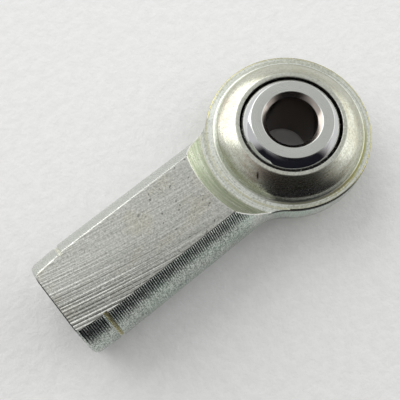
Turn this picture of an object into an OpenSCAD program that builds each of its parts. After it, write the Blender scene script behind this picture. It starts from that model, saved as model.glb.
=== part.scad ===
// Female rod end of the two-piece kind: a turned steel body with the race formed
// straight in its head, and a plated steel ball held by the lips staked over it.
// The origin is the centre of the ball. +Z runs along the bolt hole of the ball
// and +X runs down the shank to the mouth of the threaded hole.

/* [Ball] */
// Diameter of the ball
ball_d = 11.11; // [10.7:0.01:11.6]
// Width of the ball across its two flat faces
ball_w = 7.92; // [7.4:0.01:8.6]
// Diameter of the bolt hole through the ball
bore_d = 4.83; // [4:0.01:5.4]
// Chamfer at both mouths of the bolt hole
bore_chamfer = 0.45; // [0.2:0.05:0.7]
// Radial play between the ball and the race
race_play = 0.04; // [0.02:0.01:0.08]

/* [Head] */
// Diameter of the head, turned as part of a sphere
head_d = 16.2; // [15.6:0.05:17]
// Width of the head across its two staked lips
head_w = 6.3; // [6:0.05:6.6]
// Open gap round the ball at the top of a lip
lip_gap = 0.29; // [0.2:0.01:0.35]
// Width of the narrow ring on top of a lip
lip_t = 0.38; // [0.25:0.01:0.5]
// Height of the staked cone, from its foot up to the lip
stake_h = 1.3; // [1:0.05:1.4]
// Rise of the staked cone above a straight flank
stake_bulge = 0.12; // [0.05:0.01:0.2]
// Radial run of the short step at the foot of the cone
step_w = 0.28; // [0.15:0.01:0.4]
// Thickness of the rim between its upper and lower ledge
rim_t = 2.7; // [2.4:0.05:3.2]
// Width of the flat ledge left between the step and the rim's edge
ledge_w = 0.74; // [0.5:0.01:1]

/* [Shank] */
// Distance from the centre of the ball to the end of the shank
shank_l = 27; // [25:0.1:32]
// Diameter of the round shank
shank_d = 10.2; // [9.8:0.05:11]
// Width across the two wrench flats
flat_w = 7.6; // [7:0.05:8.4]
// Radius turned between the head and the shank
neck_fillet = 4; // [2:0.1:5]
// Distance from the head to the wall that the ledge cut leaves in the shank
neck_relief = 0.4; // [0.2:0.05:0.8]
// Run of that wall from the ledge up to the wrench flat
neck_run = 1.7; // [1.2:0.05:2.2]
// Depth of the hollow in that wall
neck_hollow = 0.22; // [0.1:0.01:0.35]

/* [Shank end] */
// Distance of the ring groove from the end of the shank
groove_l = 2.9; // [2:0.05:4]
// Width of the ring groove
groove_w = 0.3; // [0.2:0.05:0.5]
// Depth of the ring groove below the shank
groove_depth = 0.16; // [0.1:0.01:0.3]
// Radial step from the shank down to the end land behind the groove
end_step = 0.06; // [0.02:0.01:0.09]
// Radial taper of the end land
end_taper = 0.12; // [0.05:0.01:0.25]
// Radius of the rounded edge at the end
end_round = 0.55; // [0.3:0.05:0.8]

/* [Thread] */
// Nominal diameter of the tapped thread
thread_d = 4.83; // [4:0.01:5.2]
// Radial room at the thread's root
thread_room = 0.04; // [0.02:0.01:0.08]
// Depth of the full thread from the end of the shank
thread_l = 12.7; // [10:0.1:13]
// Diameter of the tapping drill
drill_d = 4.1; // [3.4:0.05:4.2]
// Run of the tapping drill past the last full thread
drill_run = 1.9; // [1:0.1:2.4]
// Angle of the drill's point
drill_point = 118; // [90:1:135]
// Width of the countersink round the mouth of the thread
mouth_chamfer = 0.4; // [0.2:0.05:0.6]

/* [Hidden] */
$fn = 120;

// Overrun of a cutter past the face that it opens
over = 1;
// Straight runs in an arc of a turned profile
bow_steps = 8;

ball_r = ball_d / 2;
bore_r = bore_d / 2;
head_r = head_d / 2;
shank_r = shank_d / 2;
flat_z = flat_w / 2;
thread_r = thread_d / 2 + thread_room;
drill_r = drill_d / 2;

// Levels of the head's upper half, from the rim's ledge up to the lip
ledge_z = rim_t / 2;
lip_z = head_w / 2;
foot_z = lip_z - stake_h;

// Radii of the head's upper half, from the lip out to the wall in the shank
lip_r = sqrt(ball_r ^ 2 - lip_z ^ 2) + lip_gap;
crest_r = lip_r + lip_t;
rim_r = sqrt(head_r ^ 2 - ledge_z ^ 2);
step_r = rim_r - ledge_w;
foot_r = step_r - step_w;
neck_r = head_r + neck_relief;

// Top of the neck wall, carried on past the flat to clear the round shank
clear_z = shank_r + over;
clear_r = neck_r + neck_run * (clear_z - ledge_z) / (flat_z - ledge_z);

// Centre of the turned fillet in the plane of the shank's axis
fillet_r = shank_r + neck_fillet;
fillet_x = sqrt((head_r + neck_fillet) ^ 2 - fillet_r ^ 2);
tangent = head_r / (head_r + neck_fillet);

// Stations along the shank's end
groove_x = shank_l - groove_l;
land_r = shank_r - end_step;
edge_r = land_r - end_taper;

// Points of an arc from a to b that stands off the straight line, to the left if rise is positive
function bow(a, b, rise) =
    let (
        chord = norm(b - a),
        along = (b - a) / chord,
        left = [-along.y, along.x],
        arc_r = (chord ^ 2 / 4 + rise ^ 2) / (2 * rise),
        centre = (a + b) / 2 + left * (rise - arc_r),
        half = asin(chord / 2 / arc_r)
    )
    [for (t = [-1 : 2 / bow_steps : 1]) centre + arc_r * (left * cos(t * half) + along * sin(t * half))];

// Repeats a cutter for the upper and the lower side of the body
module both_sides() {
    for (side = [0, 1]) mirror([0, 0, side]) children();
}

// Profile of the shank with its ring groove and rounded end
module shank_profile() {
    edge_start = [edge_r, shank_l - end_round];
    edge_end = [edge_r - end_round, shank_l];
    polygon(concat(
        [
            [0, 0],
            [shank_r, 0],
            [shank_r, groove_x - groove_w / 2],
            [shank_r - groove_depth, groove_x - groove_w / 2],
            [shank_r - groove_depth, groove_x + groove_w / 2],
            [land_r, groove_x + groove_w / 2]
        ],
        bow(edge_start, edge_end, -end_round * (1 - sqrt(0.5))),
        [[0, shank_l]]
    ));
}

// Profile of the web that the turned fillet leaves between the head and the shank
module fillet_profile() {
    difference() {
        polygon([
            [0, 0],
            [fillet_r, fillet_x] * tangent,
            [fillet_r, fillet_x],
            [shank_r, fillet_x],
            [0, fillet_x]
        ]);
        translate([fillet_r, fillet_x]) circle(r = neck_fillet);
    }
}

// Half profile of the turned blank, as radius and distance along the shank's axis
module blank_profile() {
    intersection() {
        circle(r = head_r);
        translate([0, -head_r]) square([head_r, head_d]);
    }
    fillet_profile();
    shank_profile();
}

// Everything above the upper face of the head, as the form cutter and the staking tool leave it
module face_profile() {
    crest = [crest_r, lip_z];
    foot = [foot_r, foot_z];
    wall_base = [neck_r, ledge_z];
    wall_top = [clear_r, clear_z];
    polygon(concat(
        [[0, head_d], [0, lip_z]],
        bow(crest, foot, stake_bulge),
        [[step_r, ledge_z]],
        bow(wall_base, wall_top, -neck_hollow),
        [[clear_r, head_d]]
    ));
}

// Spherical race with the straight throat inside each lip
module race() {
    sphere(r = ball_r + race_play);
    cylinder(r = lip_r, h = head_w + 2 * over, center = true);
}

// Tapped hole: the thread's root cylinder, the drilled run-out and the countersunk mouth
module threaded_hole() {
    thread_x = shank_l - thread_l;
    drill_x = thread_x - drill_run;
    rotate([0, 90, 0])
        rotate_extrude()
            polygon([
                [0, drill_x - drill_r / tan(drill_point / 2)],
                [drill_r, drill_x],
                [drill_r, thread_x],
                [thread_r, thread_x],
                [thread_r, shank_l - mouth_chamfer],
                [thread_r + mouth_chamfer + over, shank_l + over],
                [0, shank_l + over]
            ]);
}

// Block that mills one wrench flat along the whole shank
module flat_cutter() {
    translate([neck_r, -shank_d, flat_z]) cube([shank_l, 2 * shank_d, shank_d]);
}

module body() {
    color([0.71, 0.72, 0.69])
        difference() {
            rotate([0, 90, 0]) rotate_extrude() blank_profile();
            both_sides() rotate_extrude() face_profile();
            both_sides() flat_cutter();
            race();
            threaded_hole();
        }
}

module ball() {
    color([0.78, 0.79, 0.81])
        difference() {
            intersection() {
                sphere(r = ball_r);
                cylinder(r = ball_d, h = ball_w, center = true);
            }
            cylinder(r = bore_r, h = ball_w + 2 * over, center = true);
            both_sides()
                translate([0, 0, ball_w / 2 - bore_chamfer])
                    cylinder(r1 = bore_r, r2 = bore_r + bore_chamfer + over, h = bore_chamfer + over);
        }
}

body();
ball();
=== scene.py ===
import math

import bmesh
import bpy
from mathutils import Euler, Matrix, Vector


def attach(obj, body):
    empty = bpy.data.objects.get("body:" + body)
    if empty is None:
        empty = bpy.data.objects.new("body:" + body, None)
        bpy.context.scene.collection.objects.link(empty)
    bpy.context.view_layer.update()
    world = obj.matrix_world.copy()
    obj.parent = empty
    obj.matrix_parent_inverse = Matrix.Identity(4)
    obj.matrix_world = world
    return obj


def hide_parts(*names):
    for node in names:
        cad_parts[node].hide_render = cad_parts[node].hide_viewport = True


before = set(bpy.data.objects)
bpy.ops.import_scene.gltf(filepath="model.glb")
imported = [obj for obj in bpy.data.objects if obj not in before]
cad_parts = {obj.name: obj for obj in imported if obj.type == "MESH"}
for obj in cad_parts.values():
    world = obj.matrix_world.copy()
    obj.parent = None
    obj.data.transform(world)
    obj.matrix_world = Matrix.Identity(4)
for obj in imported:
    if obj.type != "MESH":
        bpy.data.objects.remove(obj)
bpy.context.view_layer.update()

# Sizes of the part in millimetres, as in its solids
MM = 0.001
BALL_R, BALL_HALF_W = 5.555, 3.96
BORE_R, BORE_CHAMFER = 2.415, 0.45
RACE_R = BALL_R + 0.04
HEAD_R, LIP_Z, LIP_GAP, LIP_T = 8.1, 3.15, 0.29, 0.38
STAKE_H, STAKE_BULGE, STEP_W, LEDGE_W = 1.3, 0.12, 0.28, 0.74
LEDGE_Z, FOOT_Z = 1.35, LIP_Z - STAKE_H
LIP_R = math.sqrt(BALL_R ** 2 - LIP_Z ** 2) + LIP_GAP
CREST_R = LIP_R + LIP_T
STEP_R = math.sqrt(HEAD_R ** 2 - LEDGE_Z ** 2) - LEDGE_W
FOOT_R = STEP_R - STEP_W
SHANK_L, SHANK_R, FLAT_Z = 27.0, 5.1, 3.8
NECK_FILLET, NECK_R, NECK_RUN, NECK_HOLLOW = 4.0, HEAD_R + 0.4, 1.7, 0.22
GROOVE_X, GROOVE_W, GROOVE_DEPTH = SHANK_L - 2.9, 0.3, 0.16
LAND_R, EDGE_R, END_ROUND = SHANK_R - 0.06, SHANK_R - 0.18, 0.55
THREAD_R, THREAD_MINOR_R, THREAD_L, THREAD_PITCH = 2.455, 2.04, 12.7, 0.794
DRILL_R, DRILL_RUN, DRILL_TIP, MOUTH_CHAMFER = 2.05, 1.9, 1.232, 0.4

# Ridge of the thread: half its width at the root and at the crest, its sink into the wall and its run-out
THREAD_ROOT_HALF, THREAD_CREST_HALF, THREAD_SINK = 0.36, 0.1, 0.02
THREAD_RUN_OUT, THREAD_TAPER = 0.5, 0.3

# Roundings of the edges, the slope beside a flat, the slanted sides of the groove and the bead on the neck
LIP_EDGE, FLAT_EDGE, WALL_EDGE, RIM_EDGE = 0.08, 0.038, 0.09, 0.10
END_EDGE, STEP_EDGE, BALL_EDGE, GROOVE_EDGE = 0.12, 0.08, 0.06, 0.03
FLAT_EDGE_SLOPE = 0.38
GROOVE_FLANK, GROOVE_BACK = 0.06, 0.14
BURR_R = 0.06

# Pitch of the turning marks and of the deep milling streaks
FEED, STREAK = 0.21, 0.318

# Overrun of a tool past the face that it opens
OVER = 1.0

# Angle from the shank at which the rounding of the rim starts, in degrees
RIM_FROM = 49

# Dark room and hood behind the viewer: places in millimetres, directions in degrees
DARK_CENTRE = (9, 3)
DARK_MID, DARK_HALF, DARK_SOFT, DARK_REACH = 50, 74, 13, 95
DARK_FLOOR, DARK_INNER, DARK_FOOT = -3.9, 14, 90
HOOD_R, HOOD_WAY, HOOD_FADE = 220, Vector((0.299, 0.613, 0.731)), (27, 56)

# Half width of the paper in metres
PAPER_HALF = 1.5

# Camera: its place in millimetres, its turn in degrees, its lens and sensor in millimetres
EYE = Vector((23.5254, 14.2555, 59.2784))
EYE_TURN = (18.0936, -0.5147, 140.4642)
LENS, SENSOR = 59.0636, 36

# Fineness of the shapes: steps round a turn and along an arc, sides of the bead, and halvings of a search
ROUND_STEPS, ARC_STEPS = 240, 10
HEAD_STEPS, FILLET_STEPS, SHANK_STEPS, WALL_STEPS = 72, 14, 12, 24
RIM_STEPS, RACE_STEPS, BALL_STEPS = 180, 24, 64
BURR_STEPS, BURR_SIDES, BURR_HALVINGS = 80, 10, 40
THREAD_STEPS, DARK_STEPS = 60, 40

# Points of a finished piece that are closer than this are merged, and edges sharper than this stay sharp
MERGE, SHARP = 0.004, 35


def arc(centre, radius, start, end, steps=ARC_STEPS):
    """Points of an arc in the plane of a profile, between two angles in degrees."""
    angles = [math.radians(start + (end - start) * i / steps) for i in range(steps + 1)]
    return [(centre[0] + radius * math.cos(a), centre[1] + radius * math.sin(a)) for a in angles]


def bow(a, b, bulge, steps=ARC_STEPS):
    """Points of an arc from a to b that stands off the straight line, to the left if bulge is positive."""
    a, b = Vector(a), Vector(b)
    chord = (b - a).length
    along = (b - a) / chord
    left = Vector((-along.y, along.x))
    radius = (chord ** 2 / 4 + bulge ** 2) / (2 * bulge)
    centre = (a + b) / 2 + left * (bulge - radius)
    half = math.asin(chord / 2 / radius)
    turns = [half * (2 * i / steps - 1) for i in range(steps + 1)]
    return [tuple(centre + radius * (left * math.cos(t) + along * math.sin(t))) for t in turns]


def rounded(points, radius, steps=4):
    """An open profile with each inner corner rounded to about the given radius."""
    path = [points[0]]
    for before, corner, after in zip(points, points[1:], points[2:]):
        corner = Vector(corner)
        towards, away = Vector(before) - corner, Vector(after) - corner
        start = corner + towards.normalized() * min(radius, towards.length * 0.45)
        end = corner + away.normalized() * min(radius, away.length * 0.45)
        for i in range(steps + 1):
            t = i / steps
            path.append(tuple(start * (1 - t) ** 2 + corner * 2 * t * (1 - t) + end * t ** 2))
    return path + [points[-1]]


def as_object(name, bm, *finishes):
    """Puts a finished bmesh into the scene as a mesh object with its finishes."""
    mesh = bpy.data.meshes.new(name)
    bm.to_mesh(mesh)
    bm.free()
    for material in finishes:
        mesh.materials.append(material)
    thing = bpy.data.objects.new(name, mesh)
    bpy.context.scene.collection.objects.link(thing)
    return thing


def turned(name, profile, axis, finishes, closed=False, pick=None):
    """A turned shape: (radius, station) points spun round the X or the Z axis.

    pick, where it is given, chooses the finish of a face by its radius and its station on the Z axis.
    """
    bm = bmesh.new()
    place = {"X": lambda r, s: (s, 0, r), "Z": lambda r, s: (r, 0, s)}[axis]
    verts = [bm.verts.new(place(r, s)) for r, s in profile]
    ends = verts[1:] + verts[:1] if closed else verts[1:]
    edges = [bm.edges.new(pair) for pair in zip(verts, ends)]
    around = {"X": (1, 0, 0), "Z": (0, 0, 1)}[axis]
    bmesh.ops.spin(bm, geom=verts + edges, cent=(0, 0, 0), axis=around, angle=math.tau,
                   steps=ROUND_STEPS, use_merge=True)
    bmesh.ops.remove_doubles(bm, verts=bm.verts, dist=1e-4)
    bmesh.ops.recalc_face_normals(bm, faces=bm.faces)
    if pick:
        for face in bm.faces:
            centre = face.calc_center_median()
            face.material_index = pick(math.hypot(centre.x, centre.y), centre.z)
    return as_object(name, bm, *finishes)


def combine(blank, operation, others):
    """Cuts other shapes out of the blank or joins them to it. Each brings its own finish."""
    for other in others:
        step = blank.modifiers.new("combine", "BOOLEAN")
        step.operation, step.solver, step.material_mode = operation, "EXACT", "TRANSFER"
        step.object = other
    depsgraph = bpy.context.evaluated_depsgraph_get()
    made = bpy.data.meshes.new_from_object(blank.evaluated_get(depsgraph))
    blank.modifiers.clear()
    blank.data = made
    for other in others:
        bpy.data.objects.remove(other)


def cut(blank, *tools):
    """Cuts tools out of the blank. Each leaves its own finish on what it cuts."""
    combine(blank, "DIFFERENCE", tools)


def join(blank, *beads):
    """Joins beads to the blank, each with its own finish."""
    combine(blank, "UNION", beads)


def done(piece, body, node):
    """Cleans a piece, shades it smooth between sharp edges, sizes it in metres and fixes it to its body."""
    bm = bmesh.new()
    bm.from_mesh(piece.data)
    bmesh.ops.remove_doubles(bm, verts=bm.verts, dist=MERGE)
    bmesh.ops.dissolve_degenerate(bm, edges=bm.edges, dist=MERGE)
    bmesh.ops.scale(bm, vec=(MM, MM, MM), verts=bm.verts)
    bm.to_mesh(piece.data)
    bm.free()
    piece.data.shade_smooth()
    piece.data.set_sharp_from_angle(angle=math.radians(SHARP))
    weigh = piece.modifiers.new("even_shading", "WEIGHTED_NORMAL")
    weigh.mode, weigh.keep_sharp = "FACE_AREA", True
    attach(piece, body)
    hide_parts(node)


class Sock:
    """One socket of a finish. Sums on it add the nodes that work them out."""

    def __init__(self, tree, link):
        self.tree, self.link = tree, link

    def node(self, kind, settings=(), inputs=(), out=0):
        made = self.tree.nodes.new("ShaderNode" + kind)
        for name, value in dict(settings).items():
            setattr(made, name, value)
        for name, value in dict(inputs).items():
            if isinstance(value, Sock):
                self.tree.links.new(value.link, made.inputs[name])
            else:
                made.inputs[name].default_value = value
        return Sock(self.tree, made.outputs[out])

    def math(self, operation, *values):
        return self.node("Math", {"operation": operation}, enumerate(values))

    def __add__(self, other):
        return self.math("ADD", self, other)

    def __sub__(self, other):
        return self.math("SUBTRACT", self, other)

    def __rsub__(self, other):
        return self.math("SUBTRACT", other, self)

    def __mul__(self, other):
        return self.math("MULTIPLY", self, other)

    def __truediv__(self, other):
        return self.math("DIVIDE", self, other)

    def __pow__(self, other):
        return self.math("POWER", self, other)

    def __abs__(self):
        return self.math("ABSOLUTE", self)

    __radd__, __rmul__ = __add__, __mul__


def rise(value, low, high):
    """0 below low, 1 above high, and a smooth run between them."""
    return value.node("MapRange", {"interpolation_type": "SMOOTHSTEP"},
                      {"Value": value, "From Min": low, "From Max": high})


def near(value, centre, half, soft):
    """1 within half of the centre, falling to 0 over soft."""
    return 1 - rise(abs(value - centre), half, half + soft)


def grain(a, b, c, detail=2.0, rough=0.5):
    """Noise over three measures, one grain to a unit."""
    place = a.node("CombineXYZ", (), {0: a, 1: b, 2: c})
    return place.node("TexNoise", (), {"Vector": place, "Scale": 1.0, "Detail": detail, "Roughness": rough})


def tint(under, over, share):
    """One colour laid over another by a share."""
    return share.node("Mix", {"data_type": "RGBA"}, {0: share, 6: under, 7: over}, out=2)


def colour(red, green, blue):
    """A solid colour by its shares of red, green and blue."""
    return red, green, blue, 1.0


def distance(a, b):
    """Distance from the middle over two measures."""
    return (a ** 2 + b ** 2) ** 0.5


def mark(a, b, at, half, soft):
    """A small round mark at a place on a face."""
    return 1 - rise(distance(a - at[0], b - at[1]), half, half + soft)


def finish(name, work, metallic=1.0, specular=0.5):
    """A finish. work takes a place in millimetres and gives the sockets that vary, and the height."""
    made = bpy.data.materials.new(name)
    made.use_nodes = True
    tree = made.node_tree
    here = Sock(tree, None).node("TexCoord", out="Object")
    sized = here.node("VectorMath", {"operation": "SCALE"}, {0: here, "Scale": 1 / MM})
    looks = work(*(sized.node("SeparateXYZ", (), {0: sized}, out=i) for i in range(3)))
    if "height" in looks:
        height = looks.pop("height")
        looks["Normal"] = height.node("Bump", (), {"Height": height, "Distance": MM, "Strength": 1.0})
    shader = tree.nodes["Principled BSDF"]
    shader.inputs["Metallic"].default_value = metallic
    shader.inputs["Specular IOR Level"].default_value = specular
    for socket, value in looks.items():
        if isinstance(value, Sock):
            tree.links.new(value.link, shader.inputs[socket])
        else:
            shader.inputs[socket].default_value = value
    return made


def look(base, roughness, height):
    """The sockets that a metal or paper finish varies."""
    return {"Base Color": base, "Roughness": roughness, "height": height}


def turned_work(x, y, z):
    """Round outside: turning rings, a greenish sandy bloom, olive groove and rim, and faced end, with
    painted shade in the rings, under the rim and on the end's edge, and a painted sheen on the near side.
    """
    around = distance(y, z)
    faced = rise(x, SHANK_L - 0.04, SHANK_L - 0.01)
    run = x * (1 - faced) + around * faced
    rings = grain(run * 6, y * 0.12, z * 0.12, 3)
    feed = (x.math("PINGPONG", run, FEED / 2) * (2 / FEED)) ** 2
    sand = grain(x * 6.5, y * 6.5, z * 6.5, 2, 0.6)
    bloom = grain(x * 0.35, y * 0.5, z * 0.5, 3)
    shank = rise(x, 8, 10)
    # The green is laid only on the side towards the camera, as a painted grazing sheen over the random
    # bloom
    green = rise(bloom, 0.35, 0.65) * rise(y, -2, 3)
    base = tint(colour(0.62, 0.63, 0.59), colour(0.56, 0.66, 0.58), green)
    sandy = (rise(y, -3, 3) * 0.8 + 0.2) * (shank * 0.6 + 0.4) * (1 - faced * 0.85)
    base = tint(base, colour(0.18, 0.23, 0.20), rise(sand, 0.50, 0.58) * sandy * 0.75)
    base = tint(base, colour(0.90, 0.98, 0.91), rise(1 - sand, 0.50, 0.59) * sandy * 0.8)
    # Painted shade in the valleys of the turning marks, stronger on the side towards the camera
    base = tint(base, colour(0.16, 0.17, 0.16), (1 - feed) * shank * sandy * 0.3)
    head = 1 - rise(x, 6.2, 7.4)
    front = rise(x * 0.6 + y * 0.73, 4.0, 5.8)
    # Painted shadow: a dark line just under the rim of the ledge, all round the head
    dirt_and_shade = near(abs(z), LEDGE_Z - 0.16, 0.13, 0.06) * head
    base = tint(base, colour(0.03, 0.03, 0.025), dirt_and_shade)
    rim = near(abs(z), LEDGE_Z - 0.02, 0.04, 0.06) * head * (1 - front) * rise(rings, 0.30, 0.5)
    base = tint(base, colour(0.56, 0.53, 0.27), rim * 0.9)
    olive = near(x, GROOVE_X, 0.12, 0.08) * (1 - rise(around, SHANK_R - 0.05, SHANK_R))
    settled = tint(colour(0.86, 0.83, 0.60), colour(0.50, 0.46, 0.22), rise(sand, 0.42, 0.58))
    base = tint(base, settled, olive * rise(sand, 0.25, 0.42) * sandy)
    # Painted shade: a dark line on the rounded edge between a flat and the end of the shank
    end = rise(x, SHANK_L - 0.13, SHANK_L - 0.08) * rise(abs(z), FLAT_Z - 0.2, FLAT_Z - 0.12)
    base = tint(base, colour(0.05, 0.05, 0.045), end * (1 - faced))
    roughness = rings * 0.16 + sand * 0.16 + olive * 0.35 + 0.10
    height = feed * (shank * 0.026 + 0.004) * (1 - faced * 0.6) + rings * 0.008 + sand * 0.016
    return look(base, roughness, height)


def milled_work(x, y, z):
    """Wrench flat: long slightly curved streaks, deeper towards one end, with beige patches and pits."""
    across = y + x * 0.045 + x ** 2 * 0.00375
    fine = grain(across * 8, x * 0.06, z, 2, 0.7)
    sway = grain(across * 0.5, x * 0.03, z + 5, 1)
    deep = x.math("SINE", (across + sway * 0.25) * (math.tau / STREAK)) * 0.5 + 0.5
    speckle = grain(x * 5.5, y * 5.5, z, 4, 0.75)
    patch = grain(x * 0.30 + 3, y * 0.45, z, 2)
    strength = rise(x * 0.7 + y * 1.6, 11, 20.5)
    base = tint(colour(0.50, 0.51, 0.47), colour(0.505, 0.49, 0.41), rise(patch, 0.45, 0.7) * 0.7)
    base = tint(base, colour(0.22, 0.22, 0.20), rise(fine, 0.47, 0.60) * (strength * 0.35 + 0.30))
    base = tint(base, colour(0.82, 0.82, 0.78), rise(1 - fine, 0.51, 0.64) * (strength * 0.28 + 0.22))
    scored = rise(deep, 0.40, 0.85) * rise(fine, 0.36, 0.50) * strength
    base = tint(base, colour(0.10, 0.10, 0.09), scored * 0.85)
    base = tint(base, colour(0.20, 0.20, 0.18), rise(speckle, 0.50, 0.68) * 0.6)
    base = tint(base, colour(0.86, 0.86, 0.82), rise(1 - speckle, 0.50, 0.68) * 0.5)
    edge_y = math.sqrt(SHANK_R ** 2 - FLAT_Z ** 2) - FLAT_EDGE
    edge = rise(abs(y), edge_y - 0.03, edge_y)
    base = tint(base, colour(0.20, 0.20, 0.18), edge * (1 - rise(x, 11, 19)) * 0.75)
    pits = mark(x, y, (15.04, -2.23), 0.05, 0.08)
    for at in ((13.31, -0.69), (13.27, -0.17), (9.75, 0.04)):
        pits = pits + mark(x, y, at, 0.04, 0.08)
    base = tint(base, colour(0.04, 0.04, 0.035), pits * rise(z, 0, 1) * 0.7)
    pocks = rise(grain(x * 2.6 + 7, y * 2.6, z, 1), 0.68, 0.74) * (1 - rise(x, 15, 20))
    base = tint(base, colour(0.10, 0.10, 0.09), pocks * 0.7)
    roughness = fine * 0.2 + speckle * 0.1 + 0.22
    height = fine * 0.012 - deep * strength * 0.008 + speckle * 0.005
    return look(base, roughness, height)


def form_cut_work(x, y, z):
    """Ledge of the head: pale, with fine rings, flakes, and dirt with painted shade at the foot of the cone
    on its near side.
    """
    out = distance(x, y)
    rings = grain(out * 7, x * 0.12, y * 0.12, 3, 0.6)
    speckle = grain(x * 5, y * 5, z * 5, 4, 0.75)
    base = tint(colour(0.70, 0.73, 0.675), colour(0.50, 0.52, 0.43), rise(rings, 0.42, 0.62))
    base = tint(base, colour(0.24, 0.24, 0.20), rise(speckle, 0.50, 0.68) * 0.6)
    base = tint(base, colour(0.88, 0.88, 0.82), rise(1 - speckle, 0.50, 0.68) * 0.55)
    olive = near(x, -0.2, 1.0, 1.6) * rise(y, 4, 6) * near(out, STEP_R + 0.18, 0.12, 0.16)
    base = tint(base, colour(0.52, 0.47, 0.18), olive * rise(speckle, 0.42, 0.54) * 0.85)
    # Dirt and painted shade in the recess at the foot of the cone, on the side towards the camera
    dirt_and_shade = tint(colour(0.38, 0.37, 0.12), colour(0.14, 0.135, 0.08), rise(x, -3, 1))
    base = tint(base, dirt_and_shade, near(out, STEP_R + 0.14, 0.07, 0.08) * rise(y, 2, 6) * 0.85)
    rim = near(out, STEP_R + LEDGE_W - 0.08, 0.05, 0.06)
    base = tint(base, colour(0.60, 0.57, 0.34), rim * rise(speckle, 0.35, 0.5) * 0.5)
    base = tint(base, colour(0.95, 0.95, 0.90), near(out, STEP_R - 0.02, 0.02, 0.05) * 0.6)
    return look(base, rings * 0.2 + speckle * 0.1 + 0.24, rings * 0.010 + speckle * 0.010)


def neck_work(x, y, z):
    """Hollow wall in the neck: smooth and sage green, with a pale line at its base and a painted highlight
    along its top.
    """
    out = distance(x, y)
    rings = grain(out * 3.5, z * 3.5, y * 0.35, 3)
    speckle = grain(x * 6, y * 6, z * 6, 3, 0.7)
    base = tint(colour(0.74, 0.77, 0.66), colour(0.54, 0.59, 0.45), rise(rings, 0.38, 0.62))
    base_line = near(abs(z), LEDGE_Z + 0.06, 0.05, 0.06) * rise(speckle, 0.30, 0.45)
    base = tint(base, colour(0.95, 0.94, 0.84), base_line)
    # Painted highlight: a broken near-white line along the top edge of the wall
    top_highlight = rise(abs(z), FLAT_Z - 0.19, FLAT_Z - 0.11) * rise(speckle, 0.28, 0.40)
    base = tint(base, colour(0.96, 0.97, 0.92), top_highlight)
    base = tint(base, colour(0.25, 0.28, 0.20), rise(speckle, 0.52, 0.70) * 0.6)
    return look(base, rings * 0.15 + 0.22, rings * 0.008 + speckle * 0.006)


def staked_work(x, y, z):
    """Staked cone and lip: burnished, with ring scratches, stains, one nick and a paler, rougher lip."""
    out = distance(x, y)
    rings = grain(out * 9, x * 0.25, y * 0.25, 4, 0.6)
    speckle = grain(x * 5, y * 5, z * 5, 4, 0.75)
    stain = grain(x * 0.30 + 2, y * 0.30, z * 0.3, 3, 0.6)
    lip = 1 - rise(out, CREST_R, CREST_R + 0.12)
    base = tint(colour(0.625, 0.64, 0.555), colour(0.475, 0.475, 0.365), rise(rings, 0.40, 0.66))
    stained = tint(colour(0.50, 0.49, 0.38), colour(0.52, 0.42, 0.34), rise(x, 0, 4))
    base = tint(base, stained, rise(stain, 0.45, 0.65) * 0.6)
    base = tint(base, colour(0.52, 0.54, 0.48), lip * 0.8)
    base = tint(base, colour(0.22, 0.19, 0.16), rise(speckle, 0.50, 0.68) * 0.6)
    base = tint(base, colour(0.88, 0.87, 0.81), rise(1 - speckle, 0.52, 0.70) * 0.4)
    nick = mark((x * 0.634 + y * 0.773) * 0.3, y * 0.634 - x * 0.773, (1.529, -3.281), 0.05, 0.08)
    base = tint(base, colour(0.07, 0.05, 0.04), nick * rise(z, 0, 1))
    return look(base, rings * 0.12 + lip * 0.12 + speckle * 0.12 + 0.14, rings * 0.006 + speckle * 0.004)


def burr_work(x, y, z):
    """Bead along the neck's edge: worn bright."""
    speckle = grain(x * 4, y * 4, z * 4, 3, 0.6)
    base = tint(colour(0.92, 0.92, 0.88), colour(0.70, 0.70, 0.62), rise(speckle, 0.5, 0.7))
    return look(base, speckle * 0.1 + 0.30, speckle * 0.006)


def race_work(x, y, z):
    """Race: bare, dark and oily, with a few pale specks."""
    stain = grain(x * 3, y * 3, z * 3, 3)
    base = tint(colour(0.10, 0.095, 0.09), colour(0.22, 0.20, 0.17), rise(stain, 0.4, 0.7))
    base = tint(base, colour(0.85, 0.87, 0.82), rise(grain(x * 4, y * 4, z * 4, 1), 0.66, 0.72))
    return look(base, stain * 0.2 + 0.35, stain * 0.004)


def tapped_work(x, y, z):
    """Tapped hole: plated thin, with the tap's lines."""
    lines = grain(x * 8, y * 2, z * 2, 3)
    base = tint(colour(0.46, 0.46, 0.42), colour(0.28, 0.28, 0.25), rise(lines, 0.4, 0.7))
    return look(base, lines * 0.2 + 0.3, lines * 0.004)


def chrome_work(x, y, z):
    """Ball: bright chrome over a turned face with faint marks, duller and brown in the bolt hole."""
    out = distance(x, y)
    rings = grain(out * 10, x * 0.3, y * 0.3, 3)
    scuffs = grain(x * 5 + y * 3, y * 0.9 - x * 1.5, z, 3, 0.6)
    face = rise(abs(z), BALL_HALF_W - 0.06, BALL_HALF_W - 0.02)
    bore = 1 - rise(out, BORE_R + 0.02, BORE_R + 0.12)
    base = tint(colour(0.70, 0.705, 0.72), colour(0.585, 0.60, 0.565), face)
    base = tint(base, colour(0.45, 0.45, 0.45), rise(scuffs, 0.55, 0.75) * face * 0.5)
    base = tint(base, colour(0.16, 0.13, 0.11), bore)
    chamfer = near(out, BORE_R + BORE_CHAMFER / 2, BORE_CHAMFER / 2 - 0.02, 0.05) * (1 - face) * (1 - bore)
    base = tint(base, colour(0.42, 0.36, 0.31), chamfer * 0.85)
    roughness = face * (rings * 0.15 + 0.12) + bore * 0.2 + chamfer * 0.14 + 0.06
    return look(base, roughness, (rings * 0.002 + scuffs * 0.001) * face)


def paper_work(x, y, z):
    """Matt white paper with a faint tooth."""
    tooth = grain(x * 0.9, y * 0.9, z, 4, 0.65)
    base = tint(colour(0.82, 0.82, 0.81), colour(0.79, 0.79, 0.78), rise(tooth, 0.35, 0.65))
    return look(base, tooth * 0.1 + 0.85, tooth * 0.10)


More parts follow.
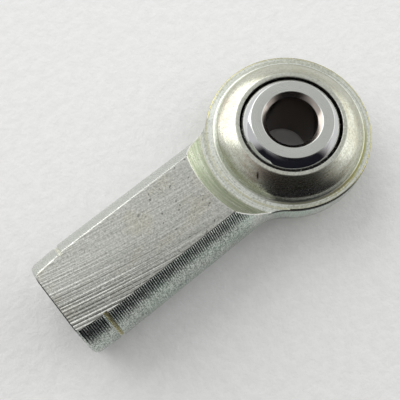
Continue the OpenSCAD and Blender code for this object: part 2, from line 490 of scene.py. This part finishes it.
def room_work(x, y, z):
    """Dark room along the horizon behind the camera, brown where it fades out."""
    off_x, off_y = x - DARK_CENTRE[0], y - DARK_CENTRE[1]
    away = distance(off_x, off_y)
    turn = abs(x.math("ARCTAN2", off_y, off_x) * (180 / math.pi) - DARK_MID)
    climb = x.math("ARCTAN2", z, away) * (180 / math.pi)
    fade = rise(turn + climb * 0.45, DARK_HALF - DARK_SOFT, DARK_HALF + DARK_SOFT)
    base = tint(colour(0.014, 0.014, 0.019), colour(0.16, 0.11, 0.08), fade)
    cover = (1 - fade) * (1 - rise(climb, 15, 40)) * rise(away - turn * 0.2, 14, 30)
    return {"Base Color": base, "Roughness": 0.9, "Alpha": cover}


def hood_work(x, y, z):
    """Dark hood round the camera, brown where it fades out."""
    off_x, off_y = x - DARK_CENTRE[0], y - DARK_CENTRE[1]
    size = (off_x ** 2 + off_y ** 2 + z ** 2) ** 0.5
    ahead = (off_x * HOOD_WAY.x + off_y * HOOD_WAY.y + z * HOOD_WAY.z) / size
    turn = x.math("ARCCOSINE", ahead) * (180 / math.pi)
    fade = rise(turn, *HOOD_FADE)
    base = tint(colour(0.020, 0.019, 0.018), colour(0.13, 0.10, 0.08), fade)
    return {"Base Color": base, "Roughness": 0.9, "Alpha": 1 - fade}


turned_zinc = finish("turned_zinc", turned_work)
milled_zinc = finish("milled_zinc", milled_work)
form_cut_zinc = finish("form_cut_zinc", form_cut_work)
neck_zinc = finish("neck_zinc", neck_work)
staked_zinc = finish("staked_zinc", staked_work)
race_steel = finish("race_steel", race_work)
tapped_steel = finish("tapped_steel", tapped_work)
chrome = finish("chrome", chrome_work)
worn_edge = finish("worn_edge", burr_work)
white_paper = finish("white_paper", paper_work, metallic=0.0, specular=0.2)
dark_wall = finish("dark_wall", room_work, metallic=0.0, specular=0.0)
dark_cloth = finish("dark_cloth", hood_work, metallic=0.0, specular=0.0)

# Body: the turned blank
tangent = HEAD_R / (HEAD_R + NECK_FILLET)
fillet_r = SHANK_R + NECK_FILLET
fillet_x = math.sqrt((HEAD_R + NECK_FILLET) ** 2 - fillet_r ** 2)
touch = math.degrees(math.atan2(fillet_x, fillet_r))
head_arc = arc((0, 0), HEAD_R, -90, touch, HEAD_STEPS)
head_arc[0] = (0, -HEAD_R)
fillet_arc = arc((fillet_r, fillet_x), NECK_FILLET, touch + 180, 180, FILLET_STEPS)[1:]
groove = rounded([
    (SHANK_R, GROOVE_X - GROOVE_W),
    (SHANK_R, GROOVE_X - GROOVE_W / 2 - GROOVE_FLANK),
    (SHANK_R - GROOVE_DEPTH, GROOVE_X - GROOVE_W / 2),
    (SHANK_R - GROOVE_DEPTH, GROOVE_X + GROOVE_W / 2),
    (LAND_R, GROOVE_X + GROOVE_W / 2 + GROOVE_BACK),
    (LAND_R, GROOVE_X + GROOVE_W + 0.1),
], GROOVE_EDGE, 3)
end_rise = END_ROUND * (1 - math.sqrt(0.5))
end_arc = bow((EDGE_R, SHANK_L - END_ROUND), (EDGE_R - END_ROUND, SHANK_L), -end_rise)
plain_l = GROOVE_X - GROOVE_W - fillet_x
shank_run = [(SHANK_R, fillet_x + plain_l * i / SHANK_STEPS) for i in range(1, SHANK_STEPS)]
body = turned("rod_end_body", head_arc + fillet_arc + shank_run + groove + end_arc + [(0, SHANK_L)],
              "X", [turned_zinc])

# Body: what the form cutter and the staking tool take off above and below the head
clear_z = SHANK_R + OVER
clear_r = NECK_R + NECK_RUN * (clear_z - LEDGE_Z) / (FLAT_Z - LEDGE_Z)


def face_tool(side):
    """Everything above or below the head's own faces: lip, staked cone, step, ledge and hollow wall."""
    stake = bow((CREST_R, LIP_Z), (FOOT_R, FOOT_Z), STAKE_BULGE)
    wall = bow((NECK_R, LEDGE_Z), (clear_r, clear_z), -NECK_HOLLOW, WALL_STEPS)
    below, above = [p for p in wall if p[1] < FLAT_Z], [p for p in wall if p[1] > FLAT_Z]
    share = (FLAT_Z - below[-1][1]) / (above[0][1] - below[-1][1])
    top = Vector(below[-1]).lerp(Vector(above[0]), share)
    wall_top = rounded([below[-1], top, (top.x + 1, FLAT_Z + 0.01)], WALL_EDGE)
    lip = rounded([(LIP_R - OVER, LIP_Z), stake[0], stake[1]], LIP_EDGE * 0.6)
    foot = rounded([stake[-2], stake[-1], (STEP_R, LEDGE_Z), (STEP_R + 0.4, LEDGE_Z)], STEP_EDGE)
    profile = [(0, LIP_Z)] + lip[:-1] + stake[1:-1] + foot[1:-1] + below[:-1] + wall_top
    profile += [(clear_r, clear_z), (clear_r, HEAD_R), (0, HEAD_R)]

    def pick(r, _):
        if r < FOOT_R + 0.02:
            return 0
        return 1 if r < NECK_R else 2

    return turned("face_tool", [(r, side * z) for r, z in profile], "Z",
                  [staked_zinc, form_cut_zinc, neck_zinc], pick=pick)


def rim_tool(side):
    """Ring that rounds the free edge of the ledge, all round the head but for the neck."""
    rim_r = STEP_R + LEDGE_W
    low = 0.3
    edge = rounded([
        (rim_r - low, LEDGE_Z),
        (rim_r, LEDGE_Z),
        (math.sqrt(HEAD_R ** 2 - (LEDGE_Z - low) ** 2), LEDGE_Z - low),
    ], RIM_EDGE)[1:-1]
    section = edge + [(HEAD_R + OVER, edge[-1][1]), (HEAD_R + OVER, LIP_Z), (edge[0][0], LIP_Z)]
    bm = bmesh.new()
    start = Matrix.Rotation(math.radians(RIM_FROM), 3, "Z")
    face = bm.faces.new([bm.verts.new(start @ Vector((r, 0, side * z))) for r, z in section])
    bmesh.ops.spin(bm, geom=[face], cent=(0, 0, 0), axis=(0, 0, 1),
                   angle=math.radians(360 - 2 * RIM_FROM), steps=RIM_STEPS)
    bmesh.ops.remove_doubles(bm, verts=bm.verts, dist=1e-5)
    bmesh.ops.recalc_face_normals(bm, faces=bm.faces)
    return as_object("rim_tool", bm, turned_zinc)


def blank_r(x):
    """Radius of the turned blank at a station along the neck or the shank."""
    if x > fillet_x:
        return SHANK_R
    return fillet_r - math.sqrt(NECK_FILLET ** 2 - (x - fillet_x) ** 2)


def neck_burr(side, flank):
    """Bead along the edge where the neck wall runs out of the round shank."""
    path = []
    for r, z in bow((NECK_R, LEDGE_Z), (clear_r, clear_z), -NECK_HOLLOW, BURR_STEPS):
        if z > FLAT_Z - BURR_R:
            break
        low, high = fillet_x * tangent, clear_r
        for _ in range(BURR_HALVINGS):
            x = (low + high) / 2
            past = x ** 2 + blank_r(x) ** 2 > r ** 2 + z ** 2
            low, high = (low, x) if past else (x, high)
        path.append(Vector((x, flank * math.sqrt(blank_r(x) ** 2 - z ** 2), side * z)))
    bm = bmesh.new()
    rings = []
    for i, point in enumerate(path):
        along = path[min(i + 1, len(path) - 1)] - path[max(i - 1, 0)]
        place = Matrix.Translation(point) @ along.to_track_quat("Z", "X").to_matrix().to_4x4()
        at_end = i in (0, len(path) - 1)
        ring = bmesh.ops.create_circle(bm, cap_ends=at_end, radius=BURR_R, segments=BURR_SIDES,
                                       matrix=place)
        rings.append(list(dict.fromkeys(edge for vert in ring["verts"] for edge in vert.link_edges)))
    for ring, following in zip(rings, rings[1:]):
        bmesh.ops.bridge_loops(bm, edges=ring + following)
    bmesh.ops.recalc_face_normals(bm, faces=bm.faces)
    return as_object("neck_burr", bm, worn_edge)


def flat_tool(side, start, end):
    """Block that mills one stretch of a wrench flat and breaks the flat's edges.

    start and end each give a station along the shank and the shank's radius there.
    """
    bm = bmesh.new()
    rings = []
    for station, radius in (start, end):
        edge_y = math.sqrt(radius ** 2 - FLAT_Z ** 2)
        half = rounded([
            (0, FLAT_Z),
            (edge_y - FLAT_EDGE, FLAT_Z),
            (edge_y + OVER, FLAT_Z - OVER * FLAT_EDGE_SLOPE),
        ], FLAT_EDGE)[1:]
        outline = [(-y, z) for y, z in reversed(half)] + half
        outline += [(edge_y + OVER, HEAD_R), (-edge_y - OVER, HEAD_R)]
        verts = [bm.verts.new((station, y, side * z)) for y, z in outline]
        rings += bm.faces.new(verts).edges
    bmesh.ops.bridge_loops(bm, edges=rings)
    bmesh.ops.recalc_face_normals(bm, faces=bm.faces)
    return as_object("flat_tool", bm, milled_zinc)


def end_tool(side):
    """Bar that rounds the edge between a flat and the end of the shank."""
    bm = bmesh.new()
    arm = 0.5
    edge = rounded([
        (SHANK_L - arm, FLAT_Z),
        (SHANK_L, FLAT_Z),
        (SHANK_L, FLAT_Z - arm),
    ], END_EDGE)[1:-1]
    far_x, far_z = SHANK_L + OVER, FLAT_Z + OVER
    section = edge + [(far_x, edge[-1][1]), (far_x, far_z), (edge[0][0], far_z)]
    face = bm.faces.new([bm.verts.new((x, -HEAD_R, side * z)) for x, z in section])
    grown = bmesh.ops.extrude_face_region(bm, geom=[face])["geom"]
    grown_verts = [part for part in grown if isinstance(part, bmesh.types.BMVert)]
    bmesh.ops.translate(bm, vec=(0, 2 * HEAD_R, 0), verts=grown_verts)
    bmesh.ops.recalc_face_normals(bm, faces=bm.faces)
    return as_object("end_tool", bm, turned_zinc)


# Body: the race with its straight throats, and the tapped hole
throat_z = math.sqrt(RACE_R ** 2 - LIP_R ** 2)
throat = math.degrees(math.atan2(throat_z, LIP_R))
throat_edge = rounded([(LIP_R, LIP_Z - 0.3), (LIP_R, LIP_Z), (LIP_R + OVER, LIP_Z + 0.01)], LIP_EDGE)[1:]
lower_edge = [(r, -z) for r, z in reversed(throat_edge)]
race_tool = turned("race_tool", [(0, -LIP_Z - OVER)] + lower_edge
                   + arc((0, 0), RACE_R, -throat, throat, RACE_STEPS)
                   + throat_edge + [(0, LIP_Z + OVER)], "Z", [race_steel, staked_zinc],
                   pick=lambda r, z: int(abs(z) > LIP_Z - LIP_EDGE))
thread_x = SHANK_L - THREAD_L
drill_x = thread_x - DRILL_RUN
hole_tool = turned("hole_tool", [
    (0, drill_x - DRILL_TIP),
    (DRILL_R, drill_x),
    (DRILL_R, thread_x),
    (THREAD_R, thread_x + THREAD_TAPER),
    (THREAD_R, SHANK_L - MOUTH_CHAMFER),
    (THREAD_R + MOUTH_CHAMFER + OVER, SHANK_L + OVER),
    (0, SHANK_L + OVER),
], "X", [tapped_steel])


def thread_ridge():
    """The helical ridge that the tap leaves in the hole."""
    bm = bmesh.new()
    start = thread_x + THREAD_RUN_OUT
    turns = (SHANK_L - MOUTH_CHAMFER - start) / THREAD_PITCH
    section = [
        (THREAD_R + THREAD_SINK, -THREAD_ROOT_HALF),
        (THREAD_MINOR_R, -THREAD_CREST_HALF),
        (THREAD_MINOR_R, THREAD_CREST_HALF),
        (THREAD_R + THREAD_SINK, THREAD_ROOT_HALF),
    ]
    face = bm.faces.new([bm.verts.new((start + s, 0, r)) for r, s in section])
    steps = round(turns * THREAD_STEPS)
    climb = (turns * THREAD_PITCH / steps, 0, 0)
    bmesh.ops.spin(bm, geom=[face], cent=(0, 0, 0), axis=(1, 0, 0), dvec=climb,
                   angle=turns * math.tau, steps=steps)
    bmesh.ops.remove_doubles(bm, verts=bm.verts, dist=1e-5)
    bmesh.ops.recalc_face_normals(bm, faces=bm.faces)
    return as_object("thread_ridge", bm, tapped_steel)


# Body: every cut in its order, then the beads on the neck
land_slope = (LAND_R - EDGE_R) / (SHANK_L - END_ROUND - GROOVE_X - GROOVE_W / 2)
cut(hole_tool, thread_ridge())
for side in (1, -1):
    cut(body, face_tool(side), rim_tool(side))
    cut(body, flat_tool(side, (NECK_R, SHANK_R), (GROOVE_X + 0.1, SHANK_R)))
    cut(body, flat_tool(side, (GROOVE_X, LAND_R + land_slope * GROOVE_W / 2),
                        (SHANK_L + OVER, EDGE_R - land_slope * (END_ROUND + OVER))))
    cut(body, end_tool(side))
cut(body, race_tool, hole_tool)
join(body, *(neck_burr(side, flank) for side in (1, -1) for flank in (1, -1)))
done(body, "body", "body")

# Ball: turned all over, with its edges broken
face_r = math.sqrt(BALL_R ** 2 - BALL_HALF_W ** 2)
face_angle = math.degrees(math.atan2(BALL_HALF_W, face_r))
round_side = arc((0, 0), BALL_R, -face_angle, face_angle, BALL_STEPS)
upper = rounded([
    round_side[-2],
    round_side[-1],
    (BORE_R + BORE_CHAMFER, BALL_HALF_W),
    (BORE_R, BALL_HALF_W - BORE_CHAMFER),
    (BORE_R, 0),
], BALL_EDGE)[1:-1]
lower = [(r, -z) for r, z in reversed(upper)]
ball = turned("ball_plated", round_side[1:-1] + upper + lower, "Z", [chrome], closed=True)
done(ball, "ball", "ball")

# Paper under the part
bm = bmesh.new()
bmesh.ops.create_grid(bm, x_segments=1, y_segments=1, size=PAPER_HALF)
bmesh.ops.translate(bm, vec=(0, 0, -BALL_HALF_W * MM), verts=bm.verts)
paper = as_object("paper", bm, white_paper)


def dark_shell(name, profile):
    """Part of the dark room behind the viewer, spun from a profile. The camera doesn't see it."""
    bm = bmesh.new()
    start = Matrix.Rotation(math.radians(DARK_MID - DARK_REACH), 3, "Z")
    centre = Vector(DARK_CENTRE + (0,)) * MM
    verts = [bm.verts.new(centre + start @ Vector((r, 0, z)) * MM) for r, z in profile]
    edges = [bm.edges.new(pair) for pair in zip(verts, verts[1:])]
    bmesh.ops.spin(bm, geom=verts + edges, cent=centre, axis=(0, 0, 1),
                   angle=math.radians(2 * DARK_REACH), steps=DARK_STEPS)
    shell = as_object(name, bm, dark_wall)
    shell.visible_camera = shell.visible_shadow = False
    return shell


# Dark room: the metal mirrors all of it, and its walls also keep light off the paper
table = dark_shell("dark_table", [(DARK_INNER, DARK_FLOOR), (DARK_FOOT, DARK_FLOOR)])
table.visible_diffuse = False
dark_shell("dark_room", [(DARK_FOOT, DARK_FLOOR), (128, 6), (140, 60), (130, 90)])

# Dark hood round the camera, which only the metal mirrors
bm = bmesh.new()
bmesh.ops.create_uvsphere(bm, u_segments=48, v_segments=24, radius=HOOD_R * MM)
bmesh.ops.translate(bm, vec=Vector(DARK_CENTRE + (0,)) * MM, verts=bm.verts)
hood = as_object("dark_hood", bm, dark_cloth)
hood.visible_camera = hood.visible_diffuse = hood.visible_shadow = False

# Studio light
world = bpy.data.worlds.new("studio")
world.use_nodes = True
sky = world.node_tree.nodes["Background"]
sky.inputs["Color"].default_value = colour(1, 1, 1)
sky.inputs["Strength"].default_value = 0.66
bpy.context.scene.world = world


def lamp(name, place, size, power):
    """A round white lamp that shines at the ball."""
    data = bpy.data.lights.new(name, "AREA")
    data.shape, data.size, data.energy = "DISK", size, power
    thing = bpy.data.objects.new(name, data)
    thing.location = place
    thing.rotation_euler = (-Vector(place)).to_track_quat("-Z", "Y").to_euler()
    bpy.context.scene.collection.objects.link(thing)


lamp("window", (0.05, -0.48, 0.27), 0.76, 2.55)
lamp("second_window", (-0.46, 0.14, 0.20), 0.60, 0.76)

# Camera at the photograph's angle
camera = bpy.data.objects.new("camera", bpy.data.cameras.new("camera"))
camera.data.lens, camera.data.sensor_width = LENS, SENSOR
camera.data.clip_start = MM
turn = Euler([math.radians(angle) for angle in EYE_TURN])
camera.matrix_world = Matrix.LocRotScale(EYE * MM, turn, None)
bpy.context.scene.collection.objects.link(camera)
bpy.context.scene.camera = camera
bpy.context.scene.view_settings.view_transform = "Standard"
